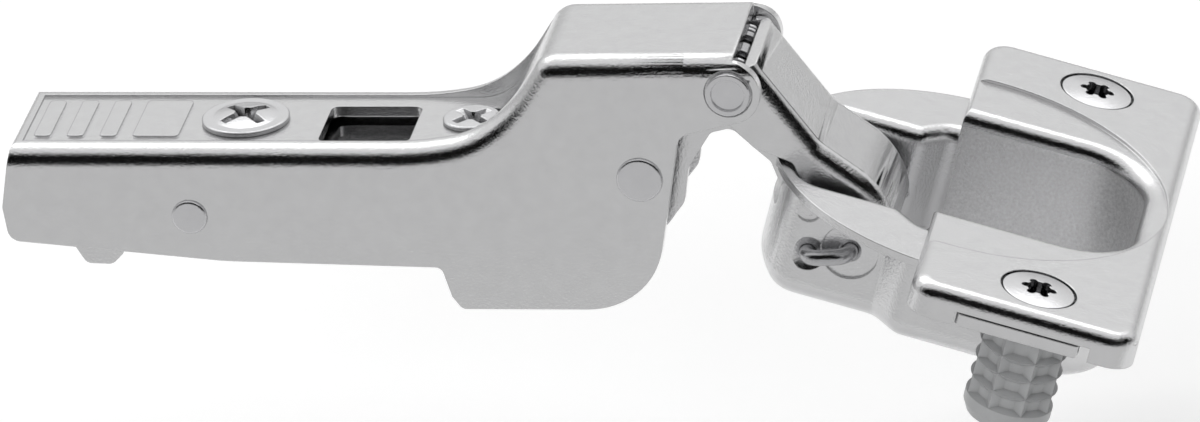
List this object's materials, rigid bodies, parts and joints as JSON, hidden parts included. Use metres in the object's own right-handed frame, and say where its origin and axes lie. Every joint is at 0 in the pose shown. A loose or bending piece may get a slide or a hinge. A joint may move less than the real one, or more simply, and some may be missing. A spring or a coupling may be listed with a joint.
{
  "type": "concealed cup hinge",
  "caption": "Clip-on concealed cup hinge with a half cranked arm, two folding links, a pressed cup and ribbed dowels, shown fully open at 107 degrees",
  "frame": {"origin": "underside of the inner arm's web, above the rear pin, where the hinge sits on its mounting plate", "axes": "+X along the arm towards the cup, +Y along the pivot pins, +Z away from the cabinet side"},
  "size_m": [0.1092, 0.056, 0.0319],
  "materials": {
    "nickel_sheet": "nickel-plated pressed steel, satin flats with bright bends",
    "bright_pin": "nickel-plated drawn steel, polished",
    "plated_screw": "nickel-plated screw steel",
    "spring_wire": "dark bright spring wire",
    "dowel_plastic": "moulded mid grey plastic"
  },
  "bodies": {
    "base": {"inner_arm": "nickel_sheet", "clip_lever_pin": "bright_pin", "clip_lever_spring": "spring_wire"},
    "lever": {"clip_lever": "nickel_sheet"},
    "slider": {"rear_pin": "bright_pin"},
    "arm": {"hinge_arm": "nickel_sheet", "inner_link_pin": "bright_pin", "outer_link_pin": "bright_pin", "closing_spring": "spring_wire"},
    "depth_screw": {"depth_adjusting_screw": "plated_screw"},
    "side_screw": {"side_adjusting_screw": "plated_screw"},
    "link_outer": {"outer_link": "nickel_sheet"},
    "door_cup": {"cup": "nickel_sheet", "hairpin_near": "bright_pin", "hairpin_far": "bright_pin", "dowel_plate_near": "nickel_sheet", "dowel_plate_far": "nickel_sheet", "dowel_near": "dowel_plastic", "dowel_far": "dowel_plastic"},
    "link_inner": {"inner_link": "nickel_sheet"},
    "screw_near": {"dowel_screw_near": "plated_screw"},
    "screw_far": {"dowel_screw_far": "plated_screw"}
  },
  "joints": [
    {"name": "lever_press", "type": "hinge", "parent": "base", "child": "lever", "pos_m": [-0.01, 0, -0.0032], "axis": [0, 1, 0], "range_deg": [0, 15], "stiffness_Nm_per_rad": 0.02, "springref_deg": -11.46},
    {"name": "depth_slide", "type": "slide", "parent": "base", "child": "slider", "axis": [1, 0, 0], "range_m": [-0.002, 0.003]},
    {"name": "side_tilt", "type": "hinge", "parent": "slider", "child": "arm", "pos_m": [0, 0, -0.0036], "axis": [0, 1, 0], "range_deg": [-1.5, 1.5]},
    {"name": "depth_screw_turn", "type": "hinge", "parent": "arm", "child": "depth_screw", "pos_m": [0.0045, 0, 0.0025], "axis": [0, 0, 1], "range_deg": [-72.2, 108.2]},
    {"name": "side_screw_turn", "type": "hinge", "parent": "arm", "child": "side_screw", "pos_m": [0.0261, 0, 0.0025], "axis": [0, 0, 1], "range_deg": [-180.3, 180.3]},
    {"name": "outer_link_fold", "type": "hinge", "parent": "arm", "child": "link_outer", "pos_m": [0.05185, 0, 0.00895], "axis": [0, 1, 0], "range_deg": [-0.01, 36.01]},
    {"name": "cup_fold", "type": "hinge", "parent": "link_outer", "child": "door_cup", "pos_m": [0.06251, 0, -0.00638], "axis": [0, -1, 0], "range_deg": [0, 143]},
    {"name": "inner_link_fold", "type": "hinge", "parent": "door_cup", "child": "link_inner", "pos_m": [0.0585, 0, -0.00651], "axis": [0, 1, 0], "range_deg": [-0.01, 138.01]},
    {"name": "near_screw_turn", "type": "hinge", "parent": "door_cup", "child": "screw_near", "pos_m": [0.082, -0.0225, -0.00387], "axis": [0.2924, 0, 0.9563], "range_deg": [0, 180]},
    {"name": "far_screw_turn", "type": "hinge", "parent": "door_cup", "child": "screw_far", "pos_m": [0.082, 0.0225, -0.00387], "axis": [0.2924, 0, 0.9563], "range_deg": [0, 180]}
  ],
  "couplings": [
    {"joint": "outer_link_fold", "follows": "cup_fold", "ratio": 0.25175},
    {"joint": "inner_link_fold", "follows": "cup_fold", "ratio": 0.96503},
    {"joint": "depth_screw_turn", "follows": "depth_slide", "rad_per_m": 628.32},
    {"joint": "side_screw_turn", "follows": "side_tilt", "ratio": 120}
  ]
}
